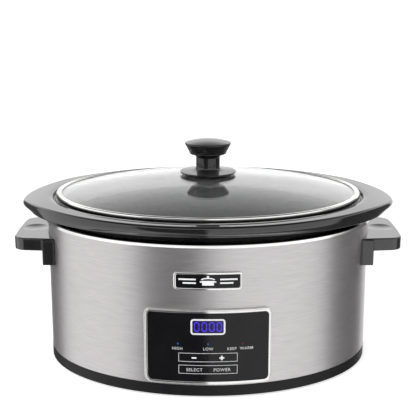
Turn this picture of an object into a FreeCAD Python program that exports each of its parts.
import FreeCAD, Part
import math
import os

# Oval digital slow cooker, in millimetres.  The floor is z = 0, +X is the right handle, -Y the panel side.
# Inside a steel housing a heating well holds a lift-out stoneware crock, closed by a domed glass lid.

V = FreeCAD.Vector
UP = V(0, 0, 1)
BACK = V(0, 1, 0)
FRONT = V(0, -1, 0)
RIGHT = V(1, 0, 0)

# ---- driving dimensions --------------------------------------------------------------------------

# Housing
shell_length = 340.0          # outside of the steel wall, along X
shell_width = 266.4           # outside of the steel wall, along Y
shell_height = 138.2          # steel wall, from the base ring to under the bead
shell_sheet = 0.6
bead_radius = 1.5             # rolled edge where the well folds over the wall
fit_gap = 0.1                 # between fixed neighbours
run_gap = 0.3                 # between pieces that move past each other

# Base and feet
foot_stand = 2.0              # how far the feet lift the base ring
foot_radius = 9.0
foot_stud_radius = 3.0
foot_inset_end = 65.0         # from the housing's outside to a foot's middle, along X
foot_inset_side = 57.2        # the same, along Y
ring_height = 11.0
ring_wall = 3.6
ring_proud = 0.2
floor_thick = 3.0
floor_recess = 3.0
lip_height = 6.0
vent_length = 26.0
vent_width = 3.0
vent_pitch = 12.0
vent_count = 5
vent_share = 0.32             # of the way from the middle to the front or back

# Heating well
well_sheet = 0.6
well_inset_top = 13.0         # from the outside of the wall to the outside of the well
well_inset_bottom = 26.0
well_floor_height = 42.6      # above the base ring's lower edge
well_corner = 10.0

# Heating parts
heater_start = 6.0            # above the well's floor
heater_height = 32.0
heater_thick = 2.0
strap_height = 9.0
strap_thick = 0.6
wrap_gap = 16.0               # from the heater's top to the insulation
wrap_height = 44.0
wrap_thick = 5.0
shield_drop = 7.0             # heat shield below the well
shield_sheet = 0.8
shield_inset = 40.0
stud_radius = 2.5
stud_head_radius = 5.5
stud_head_height = 2.4
spacer_radius = 5.0
nut_width = 8.0
nut_height = 4.0

# Crock
crock_wall = 6.5
crock_floor = 7.0
crock_gap = 1.2               # to the well
crock_foot_height = 1.0
crock_foot_wall = 8.0
crock_corner = 18.0
flange_over_end = 26.3         # how far an ear's tip stands out beyond the housing's end
flange_over_side = 16.3        # and the flange's middle beyond the housing's front or back
flange_tip_radius = 82.0
flange_under_end = 20.0        # the same two, along the flange's lower edge
flange_under_side = 8.3
flange_depth = 12.5
flange_edge = 1.6             # rounding along the top edge
flange_lift = 8.8             # from the bead's top to under the flange
shoulder_gap = 1.0            # from the bead's top to the shoulder
shoulder_inset = 5.2          # from the outside of the wall to the shoulder
ear_bend = 46.3               # length of an ear's drooping part
ear_droop = 4.5

# Lid
lid_inset_end = 9.5            # the lid's edge inside the housing's end
lid_inset_side = 4.2
lid_gap = 4.0                 # round the lid, to the flange
lid_seat_depth = 3.5
glass_thick = 4.0
glass_rise = 19.3
rim_sheet = 0.7
rim_lip = 5.0
rim_round = 1.2

# Knob
knob_hole_radius = 4.0
knob_gasket_thick = 1.0
knob_gasket_radius = 22.0
knob_disc_radius = 29.7
knob_disc_edge = 1.9
knob_disc_rise = 1.6
knob_foot_radius = 14.2
knob_stem_radius = 12.7
knob_stem_height = 15.0
knob_neck_radius = 19.6
knob_neck_height = 2.6
knob_cap_radius = 24.4
knob_cone_height = 10.2
knob_cap_rise = 4.6
clamp_radius = 19.5
clamp_upper_height = 5.0
clamp_lower_radius = 12.0
clamp_lower_height = 4.0
clamp_taper = 2.2
screw_radius = 2.5
screw_head_radius = 4.6
screw_head_height = 2.4
screw_depth = 14.0            # into the knob

# Handles
handle_reach = 32.5           # beyond the housing's end
handle_thick = 12.8
handle_top_drop = 15.6        # below the bead's centre
handle_half_root = 50.5
handle_half_tip = 45.0
handle_corner = 15.0
handle_bow = 2.0              # how far the outer edge bows out between its corners
handle_edge = 1.5
handle_root_depth = 6.0       # how far the uncut grip starts inside the wall
handle_leg_drop = 14.9        # below the plate
handle_leg_mid = 7.2          # leg's thickness at its middle
handle_leg_end_x = 0.3        # leg's outer face at its ends, beyond the housing's end
dimple_radius = 52.0
dimple_depth = 1.8
dimple_offset = 15.0
handle_bolt_offset = 28.0
handle_bolt_radius = 2.0
handle_bolt_depth = 6.0
backing_length = 76.0
backing_height = 16.0
backing_sheet = 1.5
bolt_head_radius = 3.8
bolt_head_height = 2.4

# Control panel
panel_width = 124.0
panel_height = 76.6
panel_rise = 1.5              # from the base ring to the frame
panel_corner = 7.5
panel_frame = 3.6
frame_proud = 3.2
face_proud = 2.2
face_back = 2.6               # how deep the face plate reaches inside the wall
face_rim = 4.4                # how far the face plate overlaps the wall's cut-out
window_width = 30.0
window_height = 12.6
window_up = 21.1              # centre, above the panel's centre
window_corner = 1.5
display_line = 1.7
display_line_proud = 0.45
lamp_up = 3.6                 # above the panel's centre
lamp_radius = 1.0
lamp_places = {"high": -29.0, "low": 0.0, "warm": 33.3}
key_bar_width = 58.0
key_bar_height = 10.0
key_bar_margin = 1.4
key_split = 1.0
key_corner = 1.0
key_rows_up = {"time": -9.8, "mode": -22.2}
key_proud = 0.2
key_travel = 0.6
key_lip = 1.0
key_lip_thick = 1.3
key_post_radius = 1.6
badge_width = 66.2
badge_height = 18.2
badge_up = 66.4               # above the panel's centre
badge_corner = 4.2
badge_line = 2.2
badge_proud = 1.6
badge_plate_proud = 1.0

# Boards
board_width = 104.0
board_height = 62.0
board_thick = 1.6
board_depth = 12.2            # from the wall's front to the board's front
boss_radius = 3.2
boss_offset_x = 46.0
boss_offset_z = 26.0
boss_bore = 1.5
boss_screw_head = 2.9
boss_screw_height = 2.1
boss_screw_length = 3.4       # into the boss
switch_size = 6.0
switch_depth = 3.6
switch_entry = 1.2            # how far a key's post sits in its switch
switch_spare = 0.6            # beyond the key's travel
display_height = 14.0
display_width = 30.2
shield_plate_thick = 0.5
power_width = 90.0
power_length = 52.0
power_centre_y = -64.0
post_height = 6.0
post_radius = 3.0
post_inset = 5.0
relay_size = (19.0, 15.5, 15.5)
transformer_size = (26.0, 21.0, 17.0)
terminal_size = (22.0, 9.0, 10.0)
capacitor_radius = 5.0
capacitor_height = 12.0

# Sensors, leads and inlet
thermistor_radius = 5.0
thermistor_place_x = 34.0
fuse_radius = 2.4
fuse_length = 14.0
fuse_gap = 3.0                # above the heater
ribbon_width = 20.0
ribbon_thick = 1.0
lead_radius = 1.5
inlet_bore = 3.6
inlet_neck = 7.0
inlet_flange = 9.5
inlet_flange_thick = 3.0
inlet_snout = 5.0
inlet_tip = 6.2
inlet_up = 17.0               # above the base ring

# ---- heights and half sizes that follow ----------------------------------------------------------

shell_a = shell_length / 2
shell_b = shell_width / 2
ring_top = foot_stand + ring_height
floor_bottom = foot_stand + floor_recess
floor_top = floor_bottom + floor_thick
shell_top = ring_top + shell_height
bead_z = shell_top + bead_radius + fit_gap
bead_top = bead_z + bead_radius
well_floor = foot_stand + well_floor_height
shield_z = well_floor - shield_drop
flange_under = bead_top + flange_lift
flange_top = flange_under + flange_depth
lid_seat = flange_top - lid_seat_depth
flange_a = shell_a + flange_over_end
flange_b = shell_b + flange_over_side
ear_bend_start = flange_a - ear_bend
lid_a = shell_a - lid_inset_end
lid_b = shell_b - lid_inset_side
handle_top = bead_z - handle_top_drop
handle_under = handle_top - handle_thick
leg_bottom = handle_under - handle_leg_drop
leg_middle = (handle_under + leg_bottom) / 2
panel_z = ring_top + panel_rise + panel_height / 2
heater_z = well_floor + heater_start
heater_top = heater_z + heater_height
wrap_z = heater_top + wrap_gap
board_front = -shell_b + board_depth
board_back = board_front + board_thick
window_height_z = panel_z + window_up
lamp_height_z = panel_z + lamp_up
key_rows_z = {row: panel_z + up for row, up in key_rows_up.items()}
badge_height_z = panel_z + badge_up
inlet_height_z = ring_top + inlet_up
switch_bore_depth = switch_entry + key_travel + switch_spare


# ---- shared shapes -------------------------------------------------------------------------------

def oval(a, b, z):
    """Ellipse of half sizes a and b, as a wire at height z."""
    return Part.Wire(Part.Ellipse(V(0, 0, z), a, b).toShape())


def oval_post(a, b, low, high):
    return Part.Face(oval(a, b, low)).extrude(V(0, 0, high - low))


def oval_stack(sections):
    """Solid with straight walls between ovals given as (a, b, z), from the bottom up."""
    return Part.makeLoft([oval(a, b, z) for a, b, z in sections], True, True)


def turned(points):
    """Turn a closed outline of (radius, z) points about the Z axis."""
    corners = [V(r, 0, z) for r, z in points]
    face = Part.Face(Part.makePolygon(corners + corners[:1]))
    return face.revolve(V(0, 0, 0), UP, 360)


def turned_edges(edges, depth_ratio):
    """Turn a closed run of edges about the Z axis, then narrow the solid along Y."""
    solid = Part.Face(Part.Wire(edges)).revolve(V(0, 0, 0), UP, 360)
    narrow = FreeCAD.Matrix()
    narrow.scale(1, depth_ratio, 1)
    return solid.transformGeometry(narrow)


def line(start, end):
    return Part.LineSegment(start, end).toShape()


def arc(start, middle, end):
    return Part.Arc(start, middle, end).toShape()


def rod(radius, length, place, direction):
    return Part.makeCylinder(radius, length, place, direction)


def box(size, centre):
    """Box of size (x, y, z) about its centre."""
    x, y, z = size
    return Part.makeBox(x, y, z, centre - V(x / 2, y / 2, z / 2))


def front_prism(width, height, corner, x, z):
    """Rounded rectangle, centred at (x, z), pushed out through the front wall along -Y."""
    left, right = x - width / 2, x + width / 2
    low, high = z - height / 2, z + height / 2
    bend = corner * (1 - math.sqrt(0.5))
    edges = [
        line(V(left + corner, 0, low), V(right - corner, 0, low)),
        arc(V(right - corner, 0, low), V(right - bend, 0, low + bend), V(right, 0, low + corner)),
        line(V(right, 0, low + corner), V(right, 0, high - corner)),
        arc(V(right, 0, high - corner), V(right - bend, 0, high - bend), V(right - corner, 0, high)),
        line(V(right - corner, 0, high), V(left + corner, 0, high)),
        arc(V(left + corner, 0, high), V(left + bend, 0, high - bend), V(left, 0, high - corner)),
        line(V(left, 0, high - corner), V(left, 0, low + corner)),
        arc(V(left, 0, low + corner), V(left + bend, 0, low + bend), V(left + corner, 0, low)),
    ]
    return Part.Face(Part.Wire(edges)).extrude(V(0, -shell_b * 1.5, 0))


def wall_layer(inner, outer, low, high):
    """Oval layer from inner to outer, both counted outwards from the housing's outside."""
    layer = oval_post(shell_a + outer, shell_b + outer, low, high)
    return layer.cut(oval_post(shell_a + inner, shell_b + inner, low - 1, high + 1))


def front_patch(prism, inner, outer):
    """The part of an oval layer that lies inside a prism through the front wall."""
    limits = prism.BoundBox
    return wall_layer(inner, outer, limits.ZMin - 1, limits.ZMax + 1).common(prism)


def front_y(x, outward):
    """Y of the front wall's surface at x, moved outward by the given distance."""
    return -(shell_b + outward) * math.sqrt(1 - (x / (shell_a + outward)) ** 2)


def well_half(z, outward):
    """Half sizes of the well's outside at height z, moved outward by the given distance."""
    share = (z - well_floor) / (bead_z - well_floor)
    inset = well_inset_bottom + (well_inset_top - well_inset_bottom) * share
    return shell_a - inset + outward, shell_b - inset + outward


def well_layer(low, high, inner, outer):
    """Tapered layer that follows the outside of the well."""
    solid = oval_stack([(*well_half(low, outer), low), (*well_half(high, outer), high)])
    core = oval_stack([(*well_half(low - 1, inner), low - 1), (*well_half(high + 1, inner), high + 1)])
    return solid.cut(core)


def lead(points, radius):
    """Round lead along points, each corner rounded by the largest arc that its two runs allow."""
    edges = []
    start = points[0]
    for before, corner, after in zip(points, points[1:], points[2:]):
        back = (before - corner).normalize()
        ahead = (after - corner).normalize()
        trim = 0.45 * min(before.distanceToPoint(corner), after.distanceToPoint(corner))
        half_turn = (math.pi - back.getAngle(ahead)) / 2
        centre_way = (back + ahead).normalize()
        bend = trim / math.tan(half_turn)
        middle = corner + centre_way * (bend / math.cos(half_turn) - bend)
        edges.append(line(start, corner + back * trim))
        edges.append(arc(corner + back * trim, middle, corner + ahead * trim))
        start = corner + ahead * trim
    edges.append(line(start, points[-1]))
    ring = Part.Wire(Part.Circle(points[0], points[1] - points[0], radius).toShape())
    return Part.Wire(edges).makePipeShell([ring], True, False)


# ---- base and housing ----------------------------------------------------------------------------

foot_x, foot_y = shell_a - foot_inset_end, shell_b - foot_inset_side
foot_places = [(sx * foot_x, sy * foot_y) for sx in (-1, 1) for sy in (-1, 1)]
post_places = [(sx * (power_width / 2 - post_inset), power_centre_y + sy * (power_length / 2 - post_inset))
               for sx in (-1, 1) for sy in (-1, 1)]
base_screw_places = [(shell_a * 0.78 * math.cos(turn), shell_b * 0.78 * math.sin(turn))
                     for turn in map(math.radians, (15, 165, 195, 345))]
base_screw_boss = 4.0
base_screw_top = floor_top + 12.0


def base_pan():
    """Moulded base: the ring seen under the steel, a raised lip inside it, a floor, bosses and vents."""
    outside = oval_post(shell_a + ring_proud, shell_b + ring_proud, foot_stand, ring_top)
    lip_out = -shell_sheet - fit_gap
    outside = outside.fuse(oval_post(shell_a + lip_out, shell_b + lip_out, ring_top, ring_top + lip_height))
    inside = -ring_wall
    pan = outside.cut(oval_post(shell_a + inside, shell_b + inside, floor_top, ring_top + lip_height + 1))
    pan = pan.cut(oval_post(shell_a + inside, shell_b + inside, foot_stand - 1, floor_bottom))
    for x, y in post_places:
        pan = pan.fuse(rod(post_radius, post_height, V(x, y, floor_top), UP))
    for x, y in base_screw_places:
        pan = pan.fuse(rod(base_screw_boss, base_screw_top - floor_top, V(x, y, floor_top), UP))
        hole = rod(screw_radius + fit_gap, base_screw_top, V(x, y, 0), UP)
        pan = pan.cut(hole)
    for x, y in foot_places:
        pan = pan.cut(rod(foot_stud_radius + fit_gap, floor_top, V(x, y, 0), UP))
    pan = pan.cut(rod(stud_radius + fit_gap, floor_top + 1, V(0, 0, 0), UP))
    for side in (-1, 1):
        for index in range(vent_count):
            x = (index - (vent_count - 1) / 2) * vent_pitch
            centre = V(x, side * vent_share * shell_b, floor_bottom)
            slot = box((vent_width, vent_length, floor_thick * 3), centre)
            pan = pan.cut(slot)
    return pan


def rubber_foot(x, y):
    pad = rod(foot_radius, floor_bottom - fit_gap, V(x, y, 0), UP)
    shoulder = floor_bottom - fit_gap
    stud = rod(foot_stud_radius, floor_top - shoulder, V(x, y, shoulder), UP)
    return pad.fuse(stud)


def base_screws():
    """Four screws that hold the well's feet brackets down to the base."""
    screws = []
    for x, y in base_screw_places:
        head = rod(screw_head_radius, screw_head_height, V(x, y, floor_bottom - screw_head_height), UP)
        shank = rod(screw_radius, base_screw_top - floor_bottom - 1, V(x, y, floor_bottom), UP)
        screws.append(head.fuse(shank))
    return Part.makeCompound(screws)


def outer_shell():
    """Brushed steel wall with its cut-outs for the panel, the handle bolts and the cord inlet."""
    wall = wall_layer(-shell_sheet, 0, ring_top, shell_top)
    cut = panel_frame + face_rim
    width, height = panel_width - 2 * cut, panel_height - 2 * cut
    opening = front_prism(width, height, panel_corner - panel_frame, 0, panel_z)
    wall = wall.cut(opening)
    reach = shell_a + handle_reach
    for y in (-handle_bolt_offset, handle_bolt_offset):
        start = V(-reach, y, leg_middle)
        wall = wall.cut(rod(handle_bolt_radius + fit_gap, 2 * reach, start, RIGHT))
    return wall.cut(rod(inlet_neck + fit_gap, shell_b, V(0, shell_b / 2, inlet_height_z), BACK))


def heating_well():
    """Pressed pan that the crock stands in, with a flat lip and the bead rolled over the housing's edge."""
    corner_share = 0.3
    foot_a, foot_b = well_half(well_floor, 0)
    side_a, side_b = well_half(well_floor + well_corner, 0)
    top_a, top_b = well_half(bead_z, 0)
    tuck = well_corner * corner_share

    def pan(skin):
        return oval_stack([
            (foot_a - well_corner - skin, foot_b - well_corner - skin, well_floor + skin),
            (foot_a - tuck - skin, foot_b - tuck - skin, well_floor + tuck + skin),
            (side_a - skin, side_b - skin, well_floor + well_corner + skin),
            (top_a - skin, top_b - skin, bead_z),
        ])

    lip = oval_post(shell_a, shell_b, bead_z, bead_z + well_sheet)
    lip = lip.cut(oval_post(top_a - well_sheet, top_b - well_sheet, bead_z - 1, bead_z + 1))
    path = oval(shell_a, shell_b, bead_z)
    ring = Part.Wire(Part.Circle(V(shell_a, 0, bead_z), BACK, bead_radius).toShape())
    bead = path.makePipeShell([ring], True, False)
    well = pan(0).cut(pan(well_sheet))
    return well.fuse(lip).fuse(bead)


# ---- heating parts -------------------------------------------------------------------------------

def heater_band():
    """Wire-wound heating band round the lower wall of the well."""
    return well_layer(heater_z, heater_top, fit_gap, fit_gap + heater_thick)


def heater_strap():
    """Sprung steel strap that pulls the heating band tight, closed by a lug and bolt at the back."""
    inner = 4 * fit_gap + heater_thick
    middle = (heater_z + heater_top) / 2
    strap = well_layer(middle - strap_height / 2, middle + strap_height / 2, inner, inner + strap_thick)
    back = well_half(middle, inner + strap_thick)[1]
    lug = box((8.0, 5.0, strap_height - 1), V(0, back + 2.0, middle))
    bolt = rod(1.5, 16.0, V(-8.0, back + 2.6, middle), RIGHT)
    return strap.fuse(lug).fuse(bolt)


def insulation_wrap():
    """Glass-fibre blanket round the upper wall of the well."""
    return well_layer(wrap_z, wrap_z + wrap_height, fit_gap, fit_gap + wrap_thick)


def heat_shield():
    """Steel plate between the well and the boards, with a hole for the tie stud and one for the sensor."""
    plate = oval_post(shell_a - shield_inset, shell_b - shield_inset, shield_z - shield_sheet, shield_z)
    below = shield_z - 2 * shield_sheet
    plate = plate.cut(rod(stud_radius + fit_gap, 3 * shield_sheet, V(0, 0, below), UP))
    return plate.cut(rod(lead_radius * 2, 3 * shield_sheet, V(thermistor_place_x, 0, below), UP))


def tie_stud():
    """Stud that pulls the well, the heat shield and the base together."""
    head = rod(stud_head_radius, stud_head_height, V(0, 0, floor_bottom - stud_head_height), UP)
    shank = rod(stud_radius, well_floor - floor_bottom, V(0, 0, floor_bottom), UP)
    return head.fuse(shank)


def tie_spacer():
    low, high = floor_top, shield_z - shield_sheet
    tube = rod(spacer_radius, high - low, V(0, 0, low), UP)
    return tube.cut(rod(stud_radius + fit_gap, high - low + 2, V(0, 0, low - 1), UP))


def tie_nut():
    corners = [V(nut_width / 2 / math.cos(math.pi / 6), 0, shield_z)]
    spin = FreeCAD.Rotation(UP, 60)
    for _ in range(6):
        corners.append(spin.multVec(corners[-1]))
    nut = Part.Face(Part.makePolygon(corners)).extrude(V(0, 0, nut_height))
    return nut.cut(rod(stud_radius + fit_gap, nut_height + 2, V(0, 0, shield_z - 1), UP))


def thermistor():
    """Sensor capsule pressed up against the well's floor."""
    place = V(thermistor_place_x, 0, shield_z + fit_gap)
    return rod(thermistor_radius, shield_drop - 2 * fit_gap, place, UP)


def thermal_fuse():
    """Thermal cut-off on its bracket at the back of the well, above the heater."""
    z = heater_top + fuse_gap + fuse_radius
    back = well_half(z, fit_gap)[1]
    body = rod(fuse_radius, fuse_length, V(-fuse_length / 2, back + fuse_radius + 1.0, z), RIGHT)
    bracket = box((fuse_length * 0.5, 2 * fuse_radius + 1.0, 1.0), V(0, back + fuse_radius + 1.0, z))
    bracket = bracket.cut(oval_post(*well_half(z + 2, fit_gap), z - 5, z + 5))
    return body.fuse(bracket)


# ---- handles -------------------------------------------------------------------------------------

def handle_right():
    """Flat grip plate on a leg that follows the housing, with a shallow thumb dimple on top."""
    tip = shell_a + handle_reach
    root = shell_a * math.sqrt(1 - (handle_half_root / shell_b) ** 2) - handle_root_depth
    edges = [
        line(V(root, -handle_half_root, 0), V(tip - handle_bow, -handle_half_tip, 0)),
        arc(V(tip - handle_bow, -handle_half_tip, 0), V(tip, 0, 0),
            V(tip - handle_bow, handle_half_tip, 0)),
        line(V(tip - handle_bow, handle_half_tip, 0), V(root, handle_half_root, 0)),
        line(V(root, handle_half_root, 0), V(root, -handle_half_root, 0)),
    ]
    plate = Part.Face(Part.Wire(edges)).extrude(V(0, 0, handle_thick))
    plate.translate(V(0, 0, handle_under))
    corners = [e for e in plate.Edges
               if e.BoundBox.ZLength > handle_thick / 2 and e.BoundBox.XMin > shell_a]
    plate = plate.makeFillet(handle_corner, corners)
    rim = [e for e in plate.Edges if e.BoundBox.ZMin > handle_top - 0.01 and e.BoundBox.XMax > root + 1]
    plate = plate.makeFillet(handle_edge, rim)
    end_x = shell_a + handle_leg_end_x
    leg_edges = [
        line(V(root, -handle_half_root, 0), V(end_x, -handle_half_root, 0)),
        arc(V(end_x, -handle_half_root, 0), V(shell_a + handle_leg_mid, 0, 0), V(end_x, handle_half_root, 0)),
        line(V(end_x, handle_half_root, 0), V(root, handle_half_root, 0)),
        line(V(root, handle_half_root, 0), V(root, -handle_half_root, 0)),
    ]
    leg = Part.Face(Part.Wire(leg_edges)).extrude(V(0, 0, handle_top - handle_edge - leg_bottom))
    leg.translate(V(0, 0, leg_bottom))
    grip = plate.fuse(leg)
    ball_place = V(shell_a + dimple_offset, 0, handle_top + dimple_radius - dimple_depth)
    grip = grip.cut(Part.makeSphere(dimple_radius, ball_place, BACK))
    grip = grip.cut(oval_post(shell_a + fit_gap, shell_b + fit_gap, leg_bottom - 1, handle_top + 1))
    for y in (-handle_bolt_offset, handle_bolt_offset):
        start = V(shell_a / 2, y, leg_middle)
        grip = grip.cut(rod(handle_bolt_radius + fit_gap, bolt_end() - start.x, start, RIGHT))
    return grip


def bolt_end():
    """X of the inner end of a handle bolt's hole in the leg."""
    wall_x = shell_a * math.sqrt(1 - (handle_bolt_offset / shell_b) ** 2)
    return wall_x + handle_bolt_depth


def handle_backing_right():
    """Plate inside the wall that spreads the load of one handle's two bolts."""
    low, high = leg_middle - backing_height / 2, leg_middle + backing_height / 2
    inner = -shell_sheet - fit_gap
    plate = wall_layer(inner - backing_sheet, inner, low, high)
    plate = plate.common(box((shell_a, backing_length, 2 * backing_height), V(shell_a, 0, leg_middle)))
    for y in (-handle_bolt_offset, handle_bolt_offset):
        start = V(shell_a / 2, y, leg_middle)
        plate = plate.cut(rod(handle_bolt_radius + fit_gap, shell_a, start, RIGHT))
    return plate


def handle_bolts_right():
    """Two bolts with their heads inside the housing and their ends in the handle's leg."""
    inner = shell_sheet + 2 * fit_gap + backing_sheet
    corner_y = handle_bolt_offset + bolt_head_radius
    head_x = (shell_a - inner) * math.sqrt(1 - (corner_y / (shell_b - inner)) ** 2)
    bolts = []
    for y in (-handle_bolt_offset, handle_bolt_offset):
        head = rod(bolt_head_radius, bolt_head_height, V(head_x - bolt_head_height, y, leg_middle), RIGHT)
        shank = rod(handle_bolt_radius, bolt_end() - 0.5 - head_x, V(head_x, y, leg_middle), RIGHT)
        bolts.append(head.fuse(shank))
    return Part.makeCompound(bolts)


def mirrored(shape):
    return shape.mirror(V(0, 0, 0), RIGHT)


# ---- control panel -------------------------------------------------------------------------------

key_cap_width = (key_bar_width - 2 * key_bar_margin - key_split) / 2
key_cap_height = key_bar_height - 2 * key_bar_margin
key_places = {
    "minus": (-(key_cap_width + key_split) / 2, key_rows_z["time"]),
    "plus": ((key_cap_width + key_split) / 2, key_rows_z["time"]),
    "select": (-(key_cap_width + key_split) / 2, key_rows_z["mode"]),
    "power": ((key_cap_width + key_split) / 2, key_rows_z["mode"]),
}
boss_places = [(sx * boss_offset_x, panel_z + sz * boss_offset_z) for sx in (-1, 1) for sz in (-1, 1)]


def rounded_frame(width, height, corner, line_width, z, inner, outer):
    """Frame on the front wall: a rounded rectangle with a smaller one taken out."""
    ring = front_patch(front_prism(width, height, corner, 0, z), inner, outer)
    hole = front_prism(width - 2 * line_width, height - 2 * line_width, corner - line_width, 0, z)
    return ring.cut(hole)


def panel_bezel():
    return rounded_frame(panel_width, panel_height, panel_corner, panel_frame, panel_z,
                         fit_gap, frame_proud)


def panel_face():
    """Black face plate: its front fills the bezel, its back fills the cut-out and carries the boards."""
    rim = panel_frame + fit_gap
    corner = panel_corner - panel_frame
    front = front_patch(front_prism(panel_width - 2 * rim, panel_height - 2 * rim, corner, 0, panel_z),
                        fit_gap, face_proud)
    cut = rim + face_rim
    back = front_patch(front_prism(panel_width - 2 * cut, panel_height - 2 * cut, corner, 0, panel_z),
                       -face_back, fit_gap)
    face = front.fuse(back)
    for x, z in boss_places:
        root = front_y(x, -1)
        boss = rod(boss_radius, board_front - root, V(x, root, z), BACK)
        face = face.fuse(boss)
        face = face.cut(rod(boss_bore + fit_gap, boss_screw_length, V(x, board_front, z), FRONT))
    gap = 2 * fit_gap
    face = face.cut(front_prism(window_width + gap, window_height + gap, window_corner, 0, window_height_z))
    for x in lamp_places.values():
        start = V(x, board_front, lamp_height_z)
        face = face.cut(rod(lamp_radius + fit_gap, shell_b, start, FRONT))
    for x, z in key_places.values():
        width, height = key_cap_width + 2 * run_gap, key_cap_height + 2 * run_gap
        face = face.cut(front_prism(width, height, key_corner, x, z))
    return face


def key(x, z):
    """Key cap with a retaining lip behind the face plate and a post into its switch."""
    cap = front_patch(front_prism(key_cap_width, key_cap_height, key_corner, x, z),
                      -face_back - run_gap - key_lip_thick / 2, face_proud + key_proud)
    lip_prism = front_prism(key_cap_width + 2 * run_gap, key_cap_height + 2 * key_lip, key_corner, x, z)
    lip = front_patch(lip_prism, -face_back - run_gap - key_lip_thick, -face_back - run_gap)
    post_start = front_y(x, -face_back)
    post_end = board_front - switch_depth + switch_entry
    post = rod(key_post_radius, post_end - post_start, V(x, post_start, z), BACK)
    return cap.fuse(lip).fuse(post)


def tact_switches():
    switches = []
    for x, z in key_places.values():
        body = box((switch_size, switch_depth, switch_size), V(x, board_front - switch_depth / 2, z))
        mouth = V(x, board_front - switch_depth, z)
        bore = rod(key_post_radius + run_gap, switch_bore_depth, mouth, BACK)
        switches.append(body.cut(bore))
    return Part.makeCompound(switches)


def display_frame():
    outer_width = window_width + 2 * display_line
    outer_height = window_height + 2 * display_line
    return rounded_frame(outer_width, outer_height, window_corner + display_line, display_line,
                         window_height_z, face_proud + fit_gap / 2, face_proud + display_line_proud)


def display_lens():
    return front_patch(front_prism(window_width, window_height, window_corner, 0, window_height_z),
                       -face_back + 0.5, face_proud - 0.2)


def display_module():
    """Four-digit display that stands on the control board behind the lens."""
    front = front_y(display_width / 2, -face_back) + 2 * fit_gap
    depth = board_front - front
    return box((display_width, depth, display_height), V(0, front + depth / 2, window_height_z))


def lamp(x):
    """Indicator lamp: a body on the control board and a light pipe to the face."""
    tip = front_y(x, face_proud)
    pipe = rod(lamp_radius, board_front - tip, V(x, tip, lamp_height_z), BACK)
    return pipe.fuse(rod(lamp_radius * 1.5, 4.0, V(x, board_front - 4.0, lamp_height_z), BACK))


def control_board():
    board = box((board_width, board_thick, board_height), V(0, board_front + board_thick / 2, panel_z))
    for x, z in boss_places:
        start = V(x, board_front - board_thick, z)
        board = board.cut(rod(boss_bore + fit_gap, 3 * board_thick, start, BACK))
    return board


def board_screws():
    screws = []
    for x, z in boss_places:
        head = rod(boss_screw_head, boss_screw_height, V(x, board_back, z), BACK)
        shank = rod(boss_bore, board_thick + boss_screw_length - 0.4, V(x, board_back, z), FRONT)
        screws.append(head.fuse(shank))
    return Part.makeCompound(screws)


def board_shield():
    """Thin plate on the screw heads that keeps the well's heat off the control board."""
    y = board_back + boss_screw_height + shield_plate_thick / 2
    return box((board_width, shield_plate_thick, board_height - 2), V(0, y, panel_z))


def badge_frame():
    return rounded_frame(badge_width, badge_height, badge_corner, badge_line, badge_height_z,
                         fit_gap, badge_proud)


def badge_plate():
    cut = 2 * (badge_line + fit_gap)
    prism = front_prism(badge_width - cut, badge_height - cut, badge_corner - badge_line, 0, badge_height_z)
    return front_patch(prism, fit_gap, badge_plate_proud)


# ---- power board and inlet -----------------------------------------------------------------------

board_z = floor_top + post_height
board_top = board_z + board_thick


def power_board():
    return box((power_width, power_length, board_thick), V(0, power_centre_y, board_z + board_thick / 2))


def on_board(size, x, y):
    return box(size, V(x, power_centre_y + y, board_top + size[2] / 2))


def capacitor():
    return rod(capacitor_radius, capacitor_height, V(7.0, power_centre_y + 8.0, board_top), UP)


def inlet_bushing():
    """Flanged bushing in the back wall; a mains cord would pass through its bore."""
    outer = shell_b + fit_gap
    inner = shell_b - shell_sheet - run_gap - fit_gap

    def step(radius, start, length):
        return rod(radius, length, V(0, start, inlet_height_z), BACK)

    whole = step(inlet_flange, inner - inlet_flange_thick, inlet_flange_thick)
    whole = whole.fuse(step(inlet_neck, inner, outer - inner))
    whole = whole.fuse(step(inlet_flange, outer, inlet_flange_thick))
    snout_place = V(0, outer + inlet_flange_thick, inlet_height_z)
    whole = whole.fuse(Part.makeCone(inlet_neck, inlet_tip, inlet_snout, snout_place, BACK))
    return whole.cut(step(inlet_bore, shell_b / 2, shell_b))


def ribbon_cable():
    """Flat cable from the back of the control board down to the power board."""
    y = board_back + ribbon_thick / 2 + fit_gap
    low = board_top + ribbon_thick
    end = power_centre_y - power_length / 2 + 6.0
    high = panel_z - board_height / 2 + 6
    upright = box((ribbon_width, ribbon_thick, high - low), V(0, y, (low + high) / 2))
    flat = box((ribbon_width, end - y, ribbon_thick), V(0, (y + end) / 2, low))
    return upright.fuse(flat)


def heater_leads():
    """Two sleeved leads from the terminal block, round the heat shield, up beside the heating band."""
    start_z = board_top + terminal_size[2] + lead_radius
    a, b = well_half(heater_z, fit_gap + heater_thick + fit_gap)
    tubes = []
    for start_x, end_x, aside in ((22.0, 62.0, -2.5), (30.0, 70.0, 2.5)):
        side_y = -b * math.sqrt(1 - (end_x / a) ** 2) - lead_radius
        tubes.append(lead([
            V(start_x, power_centre_y + aside, start_z),
            V(start_x + 14.0, power_centre_y + aside - 4.0, start_z + 2.0),
            V(end_x - 8.0, side_y + 12.0, start_z + 2.0),
            V(end_x, side_y - 1.0, heater_z - 8.0),
            V(end_x, side_y - 3.0, heater_z + 12.0),
        ], lead_radius))
    return Part.makeCompound(tubes)


# ---- crock ---------------------------------------------------------------------------------------

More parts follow.
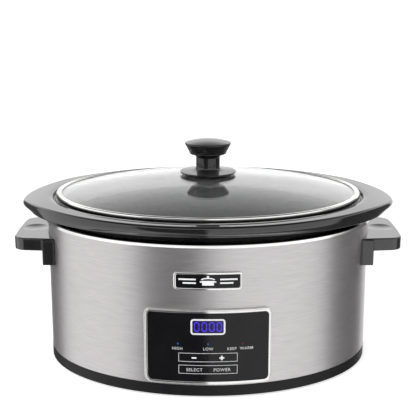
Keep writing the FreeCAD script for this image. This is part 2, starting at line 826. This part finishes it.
def flange_outline(inset, z):
    """Four tangent arcs: flat ones at the front and back, tight ones at the two ears."""
    a = flange_a - inset
    b = flange_b - inset
    tip = flange_tip_radius - inset
    flat = ((a - tip) ** 2 + b ** 2 - tip ** 2) / (2 * (b - tip))
    reach = V(a - tip, flat - b, 0).normalize() * flat
    join = V(reach.x, b - flat + reach.y, 0)
    return Part.Wire([
        arc(V(join.x, -join.y, z), V(a, 0, z), V(join.x, join.y, z)),
        arc(V(join.x, join.y, z), V(0, b, z), V(-join.x, join.y, z)),
        arc(V(-join.x, join.y, z), V(-a, 0, z), V(-join.x, -join.y, z)),
        arc(V(-join.x, -join.y, z), V(0, -b, z), V(join.x, -join.y, z)),
    ])


def under_outline(z):
    """Ellipse under the flange, in four arcs that start where the flange's own arcs do."""
    a, b = shell_a + flange_under_end, shell_b + flange_under_side
    corner = flange_outline(0, 0).Vertexes[0].Point
    turn = math.atan2(abs(corner.y) / b, abs(corner.x) / a)
    ellipse = Part.Ellipse(V(0, 0, z), a, b)
    steps = [-turn, turn, math.pi - turn, math.pi + turn, 2 * math.pi - turn]
    arcs = [Part.ArcOfEllipse(ellipse, start, end).toShape() for start, end in zip(steps, steps[1:])]
    return Part.Wire(arcs)


def ear_roof():
    """Tall block whose top is the flange's top: level in the middle, bending down at both ears."""
    reach = flange_a + 5
    share = (reach - ear_bend_start) / ear_bend
    low = flange_top - ear_droop * share ** 2
    half_x = (ear_bend_start + reach) / 2
    half_low = flange_top - ear_droop * share ** 2 / 4
    bottom = well_floor
    edges = [
        line(V(-ear_bend_start, 0, flange_top), V(ear_bend_start, 0, flange_top)),
        arc(V(ear_bend_start, 0, flange_top), V(half_x, 0, half_low), V(reach, 0, low)),
        line(V(reach, 0, low), V(reach, 0, bottom)),
        line(V(reach, 0, bottom), V(-reach, 0, bottom)),
        line(V(-reach, 0, bottom), V(-reach, 0, low)),
        arc(V(-reach, 0, low), V(-half_x, 0, half_low), V(-ear_bend_start, 0, flange_top)),
    ]
    block = Part.Face(Part.Wire(edges)).extrude(V(0, 2 * flange_b + 20, 0))
    block.translate(V(0, -flange_b - 10, 0))
    return block


def crock():
    """Glazed stoneware pot: tapered body with a foot ring, a shoulder, and a wide flange with two ears."""
    bend = flange_edge * (1 - math.sqrt(0.5))
    flange = Part.makeLoft([
        under_outline(flange_under),
        flange_outline(0, flange_top - flange_edge - ear_droop / 2),
        flange_outline(0, flange_top - flange_edge),
        flange_outline(bend, flange_top - bend),
        flange_outline(flange_edge, flange_top),
    ], True, True)
    flange = flange.common(ear_roof())
    shoulder_bottom = bead_top + shoulder_gap
    shoulder = oval_post(shell_a - shoulder_inset, shell_b - shoulder_inset, shoulder_bottom, flange_under)
    floor_under = well_floor + well_sheet + crock_foot_height
    slack = -well_sheet - crock_gap
    low_a, low_b = well_half(floor_under, slack)
    side_a, side_b = well_half(floor_under + crock_corner, slack)
    top_a, top_b = well_half(shoulder_bottom, slack)
    tuck = crock_corner * 0.3
    body = oval_stack([
        (low_a - crock_corner, low_b - crock_corner, floor_under),
        (low_a - tuck, low_b - tuck, floor_under + tuck),
        (side_a, side_b, floor_under + crock_corner),
        (top_a, top_b, shoulder_bottom),
    ])
    ring_a, ring_b = low_a - crock_corner - 1, low_b - crock_corner - 1
    foot = oval_post(ring_a, ring_b, floor_under - crock_foot_height, floor_under)
    foot = foot.cut(oval_post(ring_a - crock_foot_wall, ring_b - crock_foot_wall,
                              floor_under - crock_foot_height - 1, floor_under))
    pot = flange.fuse(shoulder).fuse(body).fuse(foot)
    inside = floor_under + crock_floor
    corner = crock_corner - 4.0
    low_a, low_b = well_half(inside, slack - crock_wall)
    side_a, side_b = well_half(inside + corner, slack - crock_wall)
    top_a, top_b = well_half(flange_top, slack - crock_wall)
    tuck = corner * 0.3
    hollow = oval_stack([
        (low_a - corner, low_b - corner, inside),
        (low_a - tuck, low_b - tuck, inside + tuck),
        (side_a, side_b, inside + corner),
        (top_a, top_b, flange_top + 1),
    ])
    seat = oval_post(lid_a + lid_gap, lid_b + lid_gap, lid_seat, flange_top + 1)
    return pot.cut(hollow).cut(seat)


# ---- lid -----------------------------------------------------------------------------------------

glass_edge = lid_a - rim_sheet - fit_gap
glass_low = lid_seat + rim_sheet + fit_gap
dome_radius = (glass_edge ** 2 + glass_rise ** 2) / (2 * glass_rise)
dome_centre = glass_low + glass_thick + glass_rise - dome_radius
lid_ratio = lid_b / lid_a
dome_top = dome_centre + dome_radius


def dome(radius, r):
    """Height of a dome surface of the given radius at distance r from the axis."""
    return dome_centre + math.sqrt(radius ** 2 - r ** 2)


def lid_glass():
    top, under = dome_radius, dome_radius - glass_thick
    middle = glass_edge / 2
    hole = knob_hole_radius / lid_ratio
    edges = [
        arc(V(hole, 0, dome(top, hole)), V(middle, 0, dome(top, middle)),
            V(glass_edge, 0, dome(top, glass_edge))),
        line(V(glass_edge, 0, dome(top, glass_edge)), V(glass_edge, 0, dome(under, glass_edge))),
        arc(V(glass_edge, 0, dome(under, glass_edge)), V(middle, 0, dome(under, middle)),
            V(hole, 0, dome(under, hole))),
        line(V(hole, 0, dome(under, hole)), V(hole, 0, dome(top, hole))),
    ]
    return turned_edges(edges, lid_ratio)


def lid_rim_band():
    """Steel channel folded round the edge of the glass."""
    lip = lid_a - rim_lip
    top = dome(dome_radius, glass_edge) + 2 * fit_gap
    lip_top = dome(dome_radius, lip) + 2 * fit_gap
    crown = top + rim_sheet
    bend = rim_round * (1 - math.sqrt(0.5))
    edges = [
        line(V(lip, 0, lid_seat), V(lid_a, 0, lid_seat)),
        line(V(lid_a, 0, lid_seat), V(lid_a, 0, crown - rim_round)),
        arc(V(lid_a, 0, crown - rim_round), V(lid_a - bend, 0, crown - bend),
            V(lid_a - rim_round, 0, crown)),
        line(V(lid_a - rim_round, 0, crown), V(lip, 0, lip_top + rim_sheet)),
        line(V(lip, 0, lip_top + rim_sheet), V(lip, 0, lip_top)),
        line(V(lip, 0, lip_top), V(lid_a - rim_sheet, 0, top)),
        line(V(lid_a - rim_sheet, 0, top), V(lid_a - rim_sheet, 0, lid_seat + rim_sheet)),
        line(V(lid_a - rim_sheet, 0, lid_seat + rim_sheet), V(lip, 0, lid_seat + rim_sheet)),
        line(V(lip, 0, lid_seat + rim_sheet), V(lip, 0, lid_seat)),
    ]
    return turned_edges(edges, lid_ratio)


disc_z = dome_top + knob_gasket_thick + fit_gap
knob_z = disc_z + knob_disc_edge + knob_disc_rise
screw_bore = screw_radius + fit_gap


def knob_gasket():
    """Soft ring between the glass and the knob's base disc."""
    low = dome(dome_radius, knob_gasket_radius) + fit_gap
    return turned([
        (screw_bore, dome_top + fit_gap / 2), (knob_gasket_radius, low + fit_gap),
        (knob_gasket_radius, disc_z), (screw_bore, disc_z),
    ])


def knob_base_disc():
    return turned([
        (screw_bore, disc_z), (knob_disc_radius - 1, disc_z), (knob_disc_radius, disc_z + 0.6),
        (knob_disc_radius, disc_z + knob_disc_edge - 0.4),
        (knob_disc_radius - 0.8, disc_z + knob_disc_edge),
        (knob_foot_radius + 2, knob_z - 0.3), (knob_foot_radius + 2, knob_z), (screw_bore, knob_z),
    ])


def lid_knob():
    """Turned knob: a stem that flares into an upturned cone under a low domed cap."""
    neck_z = knob_z + knob_stem_height
    cone_z = neck_z + knob_neck_height
    edge_z = cone_z + knob_cone_height
    top = edge_z + knob_cap_rise
    rim, rim_z = knob_cap_radius - 0.9, edge_z + 1.2
    crown = (rim ** 2 + (top - rim_z) ** 2) / (2 * (top - rim_z))
    half_z = top - crown + math.sqrt(crown ** 2 - (rim / 2) ** 2)
    edges = [
        line(V(screw_bore, 0, knob_z), V(knob_foot_radius, 0, knob_z)),
        arc(V(knob_foot_radius, 0, knob_z), V(knob_stem_radius + 0.3, 0, knob_z + 1.6),
            V(knob_stem_radius, 0, knob_z + 4.0)),
        line(V(knob_stem_radius, 0, knob_z + 4.0), V(knob_stem_radius, 0, neck_z - 2.0)),
        arc(V(knob_stem_radius, 0, neck_z - 2.0), V(knob_stem_radius + 1.6, 0, neck_z + 0.6),
            V(knob_neck_radius - 1.0, 0, neck_z + 2.0)),
        arc(V(knob_neck_radius - 1.0, 0, neck_z + 2.0), V(knob_neck_radius - 0.2, 0, neck_z + 2.2),
            V(knob_neck_radius, 0, cone_z + 0.6)),
        line(V(knob_neck_radius, 0, cone_z + 0.6), V(knob_cap_radius - 0.3, 0, edge_z - 1.0)),
        arc(V(knob_cap_radius - 0.3, 0, edge_z - 1.0), V(knob_cap_radius, 0, edge_z + 0.2),
            V(rim, 0, rim_z)),
        arc(V(rim, 0, rim_z), V(rim / 2, 0, half_z), V(0, 0, top)),
        line(V(0, 0, top), V(0, 0, knob_z + screw_depth)),
        line(V(0, 0, knob_z + screw_depth), V(screw_bore, 0, knob_z + screw_depth)),
        line(V(screw_bore, 0, knob_z + screw_depth), V(screw_bore, 0, knob_z)),
    ]
    return Part.Face(Part.Wire(edges)).revolve(V(0, 0, 0), UP, 360)


clamp_top = dome_top - glass_thick - knob_gasket_thick
clamp_bottom = clamp_top - clamp_upper_height - clamp_lower_height


def knob_clamp():
    """Stepped plastic washer that grips the glass from below."""
    step = clamp_top - clamp_upper_height
    return turned([
        (screw_bore, clamp_top), (clamp_radius, clamp_top), (clamp_radius - clamp_taper, step),
        (clamp_lower_radius, step), (clamp_lower_radius - clamp_taper, clamp_bottom),
        (screw_bore, clamp_bottom),
    ])


def knob_screw():
    head = rod(screw_head_radius, screw_head_height, V(0, 0, clamp_bottom - screw_head_height), UP)
    shank = rod(screw_radius, knob_z + screw_depth - 0.5 - clamp_bottom, V(0, 0, clamp_bottom), UP)
    slot = box((2 * screw_head_radius + 1, 1.2, 1.6), V(0, 0, clamp_bottom - screw_head_height))
    return head.fuse(shank).cut(slot)


# ---- all pieces ----------------------------------------------------------------------------------

pieces = {
    "base_pan": base_pan(),
    "base_screws": base_screws(),
    "outer_shell": outer_shell(),
    "heating_well": heating_well(),
    "heater_band": heater_band(),
    "heater_strap": heater_strap(),
    "insulation_wrap": insulation_wrap(),
    "heat_shield": heat_shield(),
    "tie_stud": tie_stud(),
    "tie_spacer": tie_spacer(),
    "tie_nut": tie_nut(),
    "thermistor": thermistor(),
    "thermal_fuse": thermal_fuse(),
    "handle_right": handle_right(),
    "handle_backing_right": handle_backing_right(),
    "handle_bolts_right": handle_bolts_right(),
    "panel_bezel": panel_bezel(),
    "panel_face": panel_face(),
    "display_frame": display_frame(),
    "display_lens": display_lens(),
    "display_module": display_module(),
    "tact_switches": tact_switches(),
    "control_board": control_board(),
    "board_screws": board_screws(),
    "board_shield": board_shield(),
    "badge_frame": badge_frame(),
    "badge_plate": badge_plate(),
    "power_board": power_board(),
    "relay": on_board(relay_size, -30.0, 12.0),
    "transformer": on_board(transformer_size, -24.0, -12.0),
    "terminal_block": on_board(terminal_size, 27.0, 0.0),
    "capacitor": capacitor(),
    "ribbon_cable": ribbon_cable(),
    "heater_leads": heater_leads(),
    "inlet_bushing": inlet_bushing(),
    "crock": crock(),
    "lid_glass": lid_glass(),
    "lid_rim_band": lid_rim_band(),
    "lid_knob": lid_knob(),
    "knob_base_disc": knob_base_disc(),
    "knob_gasket": knob_gasket(),
    "knob_clamp": knob_clamp(),
    "knob_screw": knob_screw(),
}
for name in ("handle", "handle_backing", "handle_bolts"):
    pieces[name + "_left"] = mirrored(pieces[name + "_right"])
for number, (x, y) in enumerate(foot_places, 1):
    pieces["foot_%d" % number] = rubber_foot(x, y)
for name, x in lamp_places.items():
    pieces["lamp_" + name] = lamp(x)
for name, (x, z) in key_places.items():
    pieces["key_" + name] = key(x, z)

os.makedirs("parts", exist_ok=True)
for name, shape in sorted(pieces.items()):
    shape.exportStep("parts/%s.step" % name)
    print(name, len(shape.Solids), shape.isValid(), round(shape.Volume))
